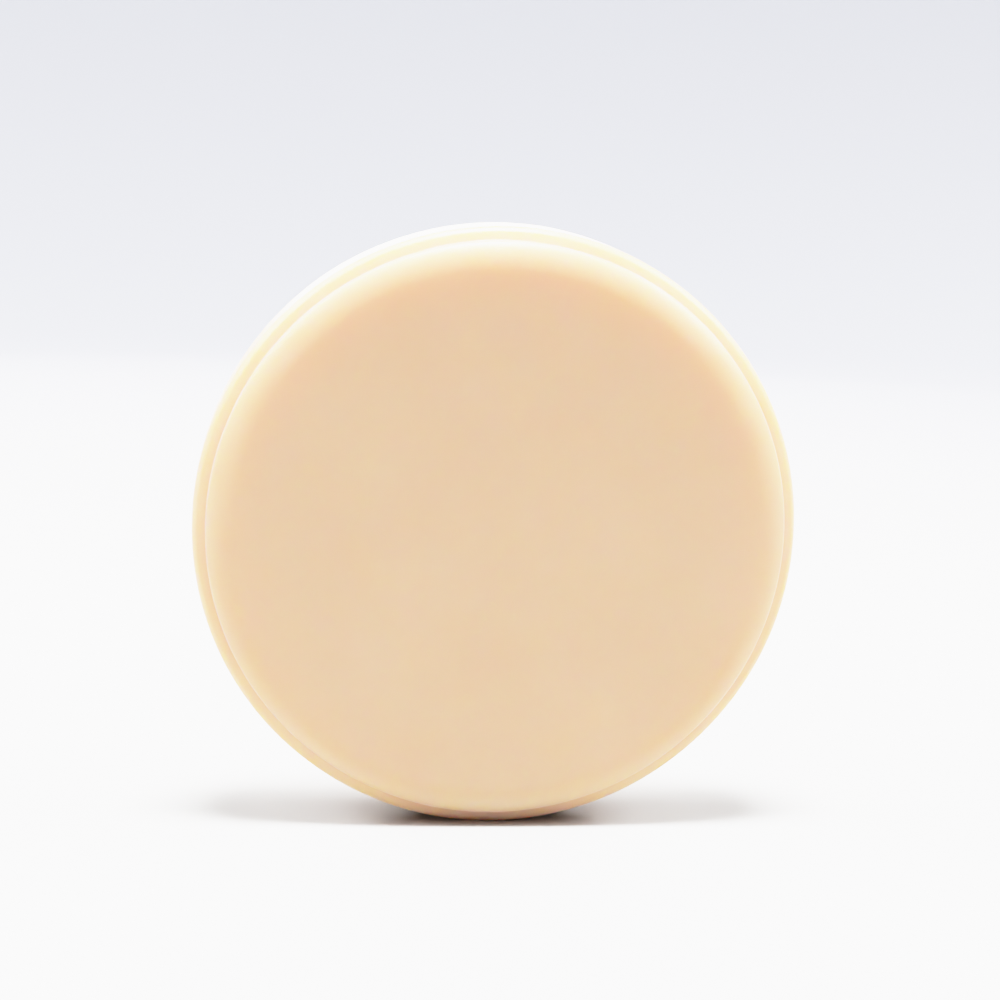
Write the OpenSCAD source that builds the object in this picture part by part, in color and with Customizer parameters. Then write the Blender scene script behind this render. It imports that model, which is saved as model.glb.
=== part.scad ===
// Shaving soap puck: one pressed block of hard milled soap. It stands upright on its
// rim, with its round axis along Y and its front face towards -Y. The origin is on the
// ground under the middle of the puck, and +Z is up. Sizes are in millimetres.
//
// The two faces are alike. Each is a low raised disc with a softly rounded margin. A
// narrow ledge runs round the foot of each raised disc and slopes away to a rounded
// shoulder, and the band between the two shoulders makes the rim. The rim has a small
// flat at the bottom, where the soap bears on the ground, so the puck stands without
// rolling.

/* [Puck] */
// diameter over the rim band
puck_d = 75; // [60:0.5:90]
// thickness from the front face to the back face
puck_t = 13; // [11:0.5:25]

/* [Raised faces] */
// how far the wall of each raised face lies inside the rim band
face_inset = 1.75; // [1.5:0.05:3]
// height of each raised face above the ledge at its foot
face_h = 1.9; // [1.75:0.05:3]
// radius of the wide soft margin round each face
margin_r = 5; // [1:0.1:5.5]
// steepest slope that the soft margin reaches, in degrees
margin_slope = 40; // [20:1:40]
// radius of the small firm edge outside the soft margin
edge_r = 0.6; // [0.2:0.05:0.7]

/* [Rim band] */
// how steeply the ledge at the foot of each raised face slopes away, in degrees
ledge_slope = 25; // [0:1:30]
// rounding of the rim band's two shoulders
shoulder_r = 1.4; // [0.5:0.05:1.5]
// how much the rim is flattened where the puck stands on it
foot_d = 0.15; // [0.05:0.05:0.4]

/* [Hidden] */
$fn = 180;
puck_r = puck_d / 2;
// radius of the raised face's wall, and the middle of the small edge rounding on it
wall_r = puck_r - face_inset;
edge_x = wall_r - edge_r;
edge_y = margin_r - (margin_r - edge_r) * cos(margin_slope);
// the middle of the soft margin's arc, which runs into the small rounding
margin_x = edge_x - (margin_r - edge_r) * sin(margin_slope);
// the middle of each shoulder rounding, which the sloping ledge runs into
shoulder_x = puck_r - shoulder_r;
ledge_w = shoulder_x + shoulder_r * sin(ledge_slope) - wall_r;
shoulder_y = face_h + ledge_w * tan(ledge_slope) + shoulder_r * cos(ledge_slope);
// degrees from one corner of an arc to the next, at most
arc_step = 9;
// room for the cut that makes the foot to stand clear of the puck
clear = 5;

// Points on a round stretch about (x, y), turning from straight out of the face at 0
// degrees to straight out of the rim at 90.
function arc(x, y, r, from, to) =
  let (steps = ceil((to - from) / arc_step))
  [for (i = [0:steps]) let (a = from + (to - from) * i / steps)
    [x + r * sin(a), y - r * cos(a)]];

// Outline of the front half, from the edge of the flat face to the rim.
front = concat(
  arc(margin_x, margin_r, margin_r, 0, margin_slope),
  arc(edge_x, edge_y, edge_r, margin_slope + arc_step, 90),
  [[wall_r, face_h]],
  arc(shoulder_x, shoulder_y, shoulder_r, ledge_slope, 90)
);

// The same outline for the back half, from the rim to the edge of the flat face.
last = len(front) - 1;
back = [for (i = [last:-1:0]) [front[i].x, puck_t - front[i].y]];

module soap_puck() {
  color([0.94, 0.84, 0.68])
    difference() {
      translate([0, -puck_t / 2, puck_r - foot_d])
        rotate([-90, 0, 0])
          rotate_extrude()
            polygon(concat([[0, 0]], front, back, [[0, puck_t]]));
      translate([-puck_r, -puck_t / 2, -clear])
        cube([puck_d, puck_t, clear]);
    }
}

soap_puck();
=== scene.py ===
"""Looks for the shaving soap puck: the block of soap, a paper sweep, soft studio light
and the camera. Lengths are in metres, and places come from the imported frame."""

import math

import bpy
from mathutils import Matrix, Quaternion, Vector, noise


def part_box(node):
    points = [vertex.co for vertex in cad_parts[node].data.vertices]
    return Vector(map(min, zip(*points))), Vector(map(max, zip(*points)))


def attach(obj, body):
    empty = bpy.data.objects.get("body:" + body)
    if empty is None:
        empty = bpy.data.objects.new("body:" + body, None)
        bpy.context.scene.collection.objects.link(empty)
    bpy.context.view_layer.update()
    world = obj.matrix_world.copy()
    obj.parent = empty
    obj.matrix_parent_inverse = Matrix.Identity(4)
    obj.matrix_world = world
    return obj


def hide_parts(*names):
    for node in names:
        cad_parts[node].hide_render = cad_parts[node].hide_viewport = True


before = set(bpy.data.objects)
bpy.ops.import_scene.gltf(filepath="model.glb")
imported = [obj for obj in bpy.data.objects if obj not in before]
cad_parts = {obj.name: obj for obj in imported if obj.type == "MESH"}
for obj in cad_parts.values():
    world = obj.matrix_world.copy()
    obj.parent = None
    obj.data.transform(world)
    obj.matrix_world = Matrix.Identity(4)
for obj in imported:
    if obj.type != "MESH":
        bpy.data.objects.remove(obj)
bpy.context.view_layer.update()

MM = 0.001

# The puck's outline. Its diameter, thickness and place are read from the frame, and the
# rest repeats the puck's own design.
puck_lo, puck_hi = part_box("soap_puck")
PUCK_R = (puck_hi.x - puck_lo.x) / 2
PUCK_T = puck_hi.y - puck_lo.y
AXIS_Z = puck_hi.z - PUCK_R
FACE_INSET = 1.75 * MM
FACE_H = 1.9 * MM
MARGIN_R = 5.0 * MM
MARGIN_SLOPE = 40
EDGE_R = 0.6 * MM
GROOVE_R = 0.3 * MM
LEDGE_SLOPE = 25
SHOULDER_R = 1.4 * MM
AXIS_POINT = Vector((0, 0, AXIS_Z))
PUCK_SEGMENTS = 288
SWEEP_SEGMENTS = 128


def arc(x, y, r, start, stop, steps, skip=0):
    """Points (radius, depth) round a corner whose middle is at (x, y). The angle is 0
    straight out of the front face and 90 straight out of the rim."""
    points = []
    for i in range(skip, steps + 1):
        a = math.radians(start + (stop - start) * i / steps)
        points.append((x + r * math.sin(a), y - r * math.cos(a)))
    return points


def half_outline():
    """The front half of the outline, from the face's middle to the rim's middle."""
    wall = PUCK_R - FACE_INSET
    edge_x = wall - EDGE_R
    margin = math.radians(MARGIN_SLOPE)
    edge_y = MARGIN_R - (MARGIN_R - EDGE_R) * math.cos(margin)
    margin_x = edge_x - (MARGIN_R - EDGE_R) * math.sin(margin)
    ledge = math.radians(LEDGE_SLOPE)
    shoulder_x = PUCK_R - SHOULDER_R
    ledge_w = shoulder_x + SHOULDER_R * math.sin(ledge) - wall
    shoulder_y = FACE_H + ledge_w * math.tan(ledge) + SHOULDER_R * math.cos(ledge)
    groove_x = wall + GROOVE_R
    groove_y = FACE_H + GROOVE_R * math.tan(ledge) - GROOVE_R / math.cos(ledge)
    band = PUCK_T / 2 - shoulder_y
    face_rings = 24
    margin_steps = 14
    edge_steps = 8
    groove_steps = 6
    shoulder_steps = 12
    band_rings = 4

    outline = [(margin_x * i / face_rings, 0) for i in range(face_rings)]
    outline += arc(margin_x, MARGIN_R, MARGIN_R, 0, MARGIN_SLOPE, margin_steps)
    outline += arc(edge_x, edge_y, EDGE_R, MARGIN_SLOPE, 90, edge_steps, skip=1)
    outline += arc(groove_x, groove_y, GROOVE_R, 270, 180 + LEDGE_SLOPE, groove_steps)
    outline += arc(shoulder_x, shoulder_y, SHOULDER_R, LEDGE_SLOPE, 90, shoulder_steps)
    outline += [(PUCK_R, shoulder_y + band * i / band_rings) for i in range(1, band_rings + 1)]
    return outline


def lathe(name, outline, segments):
    """Turns an outline of (radius, depth) about the puck's axis. The first and the last
    point lie on the axis and close the two faces."""
    verts = []
    for radius, depth in outline[1:-1]:
        for k in range(segments):
            a = 2 * math.pi * (k + 0.5) / segments
            verts.append(Vector((radius * math.sin(a), puck_lo.y + depth, -radius * math.cos(a))))
    front = len(verts)
    verts.append(Vector((0, puck_lo.y + outline[0][1], 0)))
    verts.append(Vector((0, puck_lo.y + outline[-1][1], 0)))
    rings = len(outline) - 2
    faces = []
    for k in range(segments):
        n = (k + 1) % segments
        faces.append((front, k, n))
        faces.append((front + 1, (rings - 1) * segments + n, (rings - 1) * segments + k))
        for i in range(rings - 1):
            a = i * segments
            b = a + segments
            faces.append((a + k, b + k, b + n, a + n))
    mesh = bpy.data.meshes.new(name)
    mesh.from_pydata([v + AXIS_POINT for v in verts], [], faces)
    mesh.validate()
    mesh.shade_smooth()
    piece = bpy.data.objects.new(name, mesh)
    bpy.context.scene.collection.objects.link(piece)
    return piece


def press_marks(piece):
    """Takes up to a few hundredths of a millimetre off the surface in soft waves, as a
    pressed and handled block has, and stands the rim on its small flat. The waves push
    inwards along the axis on the faces, and towards the axis at the rim."""
    depth = 0.05 * MM
    wave_length = 14 * MM
    rim_sharpness = 6
    for v in piece.data.vertices:
        swell = 0.5 + 0.5 * noise.noise(v.co * (1 / wave_length))
        out = Vector((v.co.x, 0, v.co.z - AXIS_Z))
        rim = (out.length / PUCK_R) ** rim_sharpness
        side = -1 if v.co.y < 0 else 1
        inward = Vector((0, -side * (1 - rim), 0)) - out.normalized() * rim
        v.co += inward * depth * swell
        v.co.z = max(v.co.z, puck_lo.z)


def soap():
    """Hard milled soap: pale, a little translucent, with a satin skin and a light bloom."""
    scatter_depth = 12 * MM
    mottle_size = 16 * MM
    grain_size = 0.9 * MM
    grain_depth = 0.05 * MM
    darker = (0.620, 0.377, 0.224, 1)
    lighter = (0.639, 0.399, 0.242, 1)
    material = bpy.data.materials.new("milled_soap")
    material.use_nodes = True
    nodes = material.node_tree.nodes
    links = material.node_tree.links
    shader = nodes["Principled BSDF"]
    shader.inputs["Subsurface Weight"].default_value = 1.0
    shader.inputs["Subsurface Radius"].default_value = (1.0, 0.55, 0.1)
    shader.inputs["Subsurface Scale"].default_value = scatter_depth
    shader.inputs["Roughness"].default_value = 0.4
    shader.inputs["IOR"].default_value = 1.5
    shader.inputs["Sheen Weight"].default_value = 0.15
    shader.inputs["Sheen Roughness"].default_value = 0.4
    place = nodes.new("ShaderNodeTexCoord")

    mottle = nodes.new("ShaderNodeTexNoise")
    mottle.inputs["Scale"].default_value = 1 / mottle_size
    mottle.inputs["Detail"].default_value = 4.0
    mottle.inputs["Roughness"].default_value = 0.55
    tone = nodes.new("ShaderNodeValToRGB")
    tone.color_ramp.elements[0].position = 0.3
    tone.color_ramp.elements[0].color = darker
    tone.color_ramp.elements[1].position = 0.7
    tone.color_ramp.elements[1].color = lighter
    links.new(place.outputs["Object"], mottle.inputs["Vector"])
    links.new(mottle.outputs["Fac"], tone.inputs["Fac"])
    links.new(tone.outputs["Color"], shader.inputs["Base Color"])

    grain = nodes.new("ShaderNodeTexNoise")
    grain.inputs["Scale"].default_value = 1 / grain_size
    grain.inputs["Detail"].default_value = 5.0
    grain.inputs["Roughness"].default_value = 0.6
    bump = nodes.new("ShaderNodeBump")
    bump.inputs["Strength"].default_value = 0.25
    bump.inputs["Distance"].default_value = grain_depth
    links.new(place.outputs["Object"], grain.inputs["Vector"])
    links.new(grain.outputs["Fac"], bump.inputs["Height"])
    links.new(bump.outputs["Normal"], shader.inputs["Normal"])
    return material


def paper():
    """Matt paper for the sweep, with painted light and shade: light grey round the puck and paler
    further out.
    The darker grey round the puck is painted shade under and around it, and the steps further out
    paint the sweep's fall of light. Each tone stands at its distance in metres from the upright
    line through the puck."""
    # Painted shade and light: the darkest grey, nearest the puck, stands for the shade under and
    # around it, and the paler steps further out paint the sweep's brightness.
    painted_light_and_shade_tones = (
        (0.02, (0.47, 0.47, 0.47, 1)),
        (0.07, (0.50, 0.50, 0.50, 1)),
        (0.13, (0.54, 0.54, 0.54, 1)),
        (0.25, (0.50, 0.50, 0.53, 1)),
        (0.38, (0.57, 0.57, 0.66, 1)),
        (0.48, (0.68, 0.69, 0.80, 1)),
        (0.58, (0.67, 0.69, 0.79, 1)),
    )
    material = bpy.data.materials.new("sweep_paper_painted_shade")
    material.use_nodes = True
    nodes = material.node_tree.nodes
    links = material.node_tree.links
    shader = nodes["Principled BSDF"]
    shader.inputs["Roughness"].default_value = 0.9
    shader.inputs["Specular IOR Level"].default_value = 0.2
    place = nodes.new("ShaderNodeTexCoord")
    level = nodes.new("ShaderNodeVectorMath")
    level.operation = "MULTIPLY"
    level.inputs[1].default_value = (1, 1, 0)
    distance = nodes.new("ShaderNodeVectorMath")
    distance.operation = "LENGTH"
    tone = nodes.new("ShaderNodeValToRGB")
    ramp = tone.color_ramp
    for i, (position, colour) in enumerate(painted_light_and_shade_tones):
        element = ramp.elements[i] if i < 2 else ramp.elements.new(position)
        element.position = position
        element.color = colour
    links.new(place.outputs["Object"], level.inputs[0])
    links.new(level.outputs["Vector"], distance.inputs[0])
    links.new(distance.outputs["Value"], tone.inputs["Fac"])
    links.new(tone.outputs["Color"], shader.inputs["Base Color"])
    return material


def surface(name, outline, segments, material):
    """A surface turned about the vertical through the puck, from (radius, height) points."""
    verts = []
    for radius, z in outline:
        for k in range(segments):
            a = 2 * math.pi * k / segments
            verts.append((radius * math.cos(a), radius * math.sin(a), z))
    faces = []
    for k in range(segments):
        n = (k + 1) % segments
        for i in range(len(outline) - 1):
            a = i * segments
            b = a + segments
            faces.append((a + k, b + k, b + n, a + n))
    mesh = bpy.data.meshes.new(name)
    mesh.from_pydata(verts, [], faces)
    mesh.shade_smooth()
    mesh.materials.append(material)
    thing = bpy.data.objects.new(name, mesh)
    thing.location.z = puck_lo.z
    bpy.context.scene.collection.objects.link(thing)
    return thing


def sweep():
    """A round sweep: a flat floor, and a wall that curves up from it on every side. The
    wall shows to the camera and in gloss, but gives no diffuse light and no shadow."""
    flat = 0.52
    bend = 0.45
    height = 1.1
    pinhole = 0.0001
    floor_rings = 8
    steps = 24
    sheet = paper()
    floor = [(pinhole, 0.0)]
    floor += [(flat * i / floor_rings, 0.0) for i in range(1, floor_rings + 1)]
    surface("floor", floor, SWEEP_SEGMENTS, sheet)
    outline = [(flat, 0.0)]
    for i in range(1, steps + 1):
        a = math.radians(90 * i / steps)
        outline.append((flat + bend * math.sin(a), bend * (1 - math.cos(a))))
    outline.append((flat + bend, height))
    wall = surface("wall", outline, SWEEP_SEGMENTS, sheet)
    wall.visible_diffuse = False
    wall.visible_shadow = False


def softbox(name, place, aim, size, power, spread=180):
    """A rectangular soft light at a place, facing a point, with its power in watts and
    its spread in degrees. The camera doesn't see it."""
    light = bpy.data.lights.new(name, "AREA")
    light.shape = "RECTANGLE"
    light.size, light.size_y = size
    light.energy = power
    light.spread = math.radians(spread)
    lamp = bpy.data.objects.new(name, light)
    lamp.location = place
    lamp.rotation_euler = (Vector(aim) - Vector(place)).to_track_quat("-Z", "Y").to_euler()
    lamp.visible_camera = False
    bpy.context.scene.collection.objects.link(lamp)


def studio_light():
    """Soft light from above and from both sides, a little from behind, and none from the
    world."""
    centre = (0, 0, 0.03)
    softbox("over", (0.0, -0.06, 0.65), (0, 0, 0), (0.22, 0.12), 13.99)
    softbox("left_side", (-0.5, 0.0, 0.46), centre, (0.4, 0.3), 3.6)
    softbox("right_side", (0.5, 0.0, 0.46), centre, (0.4, 0.3), 5.0)
    softbox("left_high", (-0.4, 0.0, 0.55), centre, (0.4, 0.4), 3.80)
    softbox("right_high", (0.4, 0.0, 0.55), centre, (0.4, 0.4), 2.57)
    softbox("behind", (0.0, 0.6, 0.2), centre, (0.3, 0.2), 0.6, spread=60)
    world = bpy.data.worlds.new("studio")
    world.use_nodes = True
    world.node_tree.nodes["Background"].inputs["Color"].default_value = (0, 0, 0, 1)
    bpy.context.scene.world = world


def tones():
    """Plain tones up to a knee, and a soft shoulder above it that holds the highlights."""
    knee = 0.45
    top = 0.96
    brightest = 4.0
    steps = 24
    view = bpy.context.scene.view_settings
    view.view_transform = "Standard"
    view.use_curve_mapping = True
    mapping = view.curve_mapping
    mapping.white_level = (brightest, brightest, brightest)
    curve = mapping.curves[3]
    curve.points[0].location = (0.0, 0.0)
    curve.points[1].location = (1.0, top)
    for i in range(steps):
        light = knee + (brightest - knee) * (i / steps) ** 2
        shown = knee + (top - knee) * (1 - math.exp(-(light - knee) / (top - knee)))
        curve.points.new(light / brightest, shown)
    for point in curve.points:
        point.handle_type = "VECTOR"
    mapping.update()


def camera():
    """A short telephoto close in front, a little to the left and above."""
    azimuth = math.radians(-6.11)
    elevation = math.radians(11.21)
    roll = math.radians(1.98)
    distance = 0.26
    edge_depth = 1.35 * MM
    aim_rise = 4.2 * MM
    face = Vector((0, puck_lo.y + edge_depth, AXIS_Z))
    back = Vector((
        math.sin(azimuth) * math.cos(elevation),
        -math.cos(azimuth) * math.cos(elevation),
        math.sin(elevation),
    ))
    lens = bpy.data.cameras.new("camera")
    lens.sensor_width = 36
    lens.lens = 76.25
    lens.clip_start = 0.01
    eye = bpy.data.objects.new("camera", lens)
    eye.location = face + back * distance
    aim = face + Vector((0, 0, aim_rise))
    level = (aim - eye.location).to_track_quat("-Z", "Y")
    eye.rotation_euler = (level @ Quaternion((0, 0, 1), roll)).to_euler()
    bpy.context.scene.collection.objects.link(eye)
    bpy.context.scene.camera = eye


def puck():
    """The block of soap, alike front and back, in place of the plain CAD solid."""
    front = half_outline()
    back = [(radius, PUCK_T - depth) for radius, depth in reversed(front[:-1])]
    piece = lathe("pressed_soap", front + back, PUCK_SEGMENTS)
    press_marks(piece)
    piece.data.materials.append(soap())
    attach(piece, "root")
    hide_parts("soap_puck")


puck()
sweep()
studio_light()
camera()
tones()
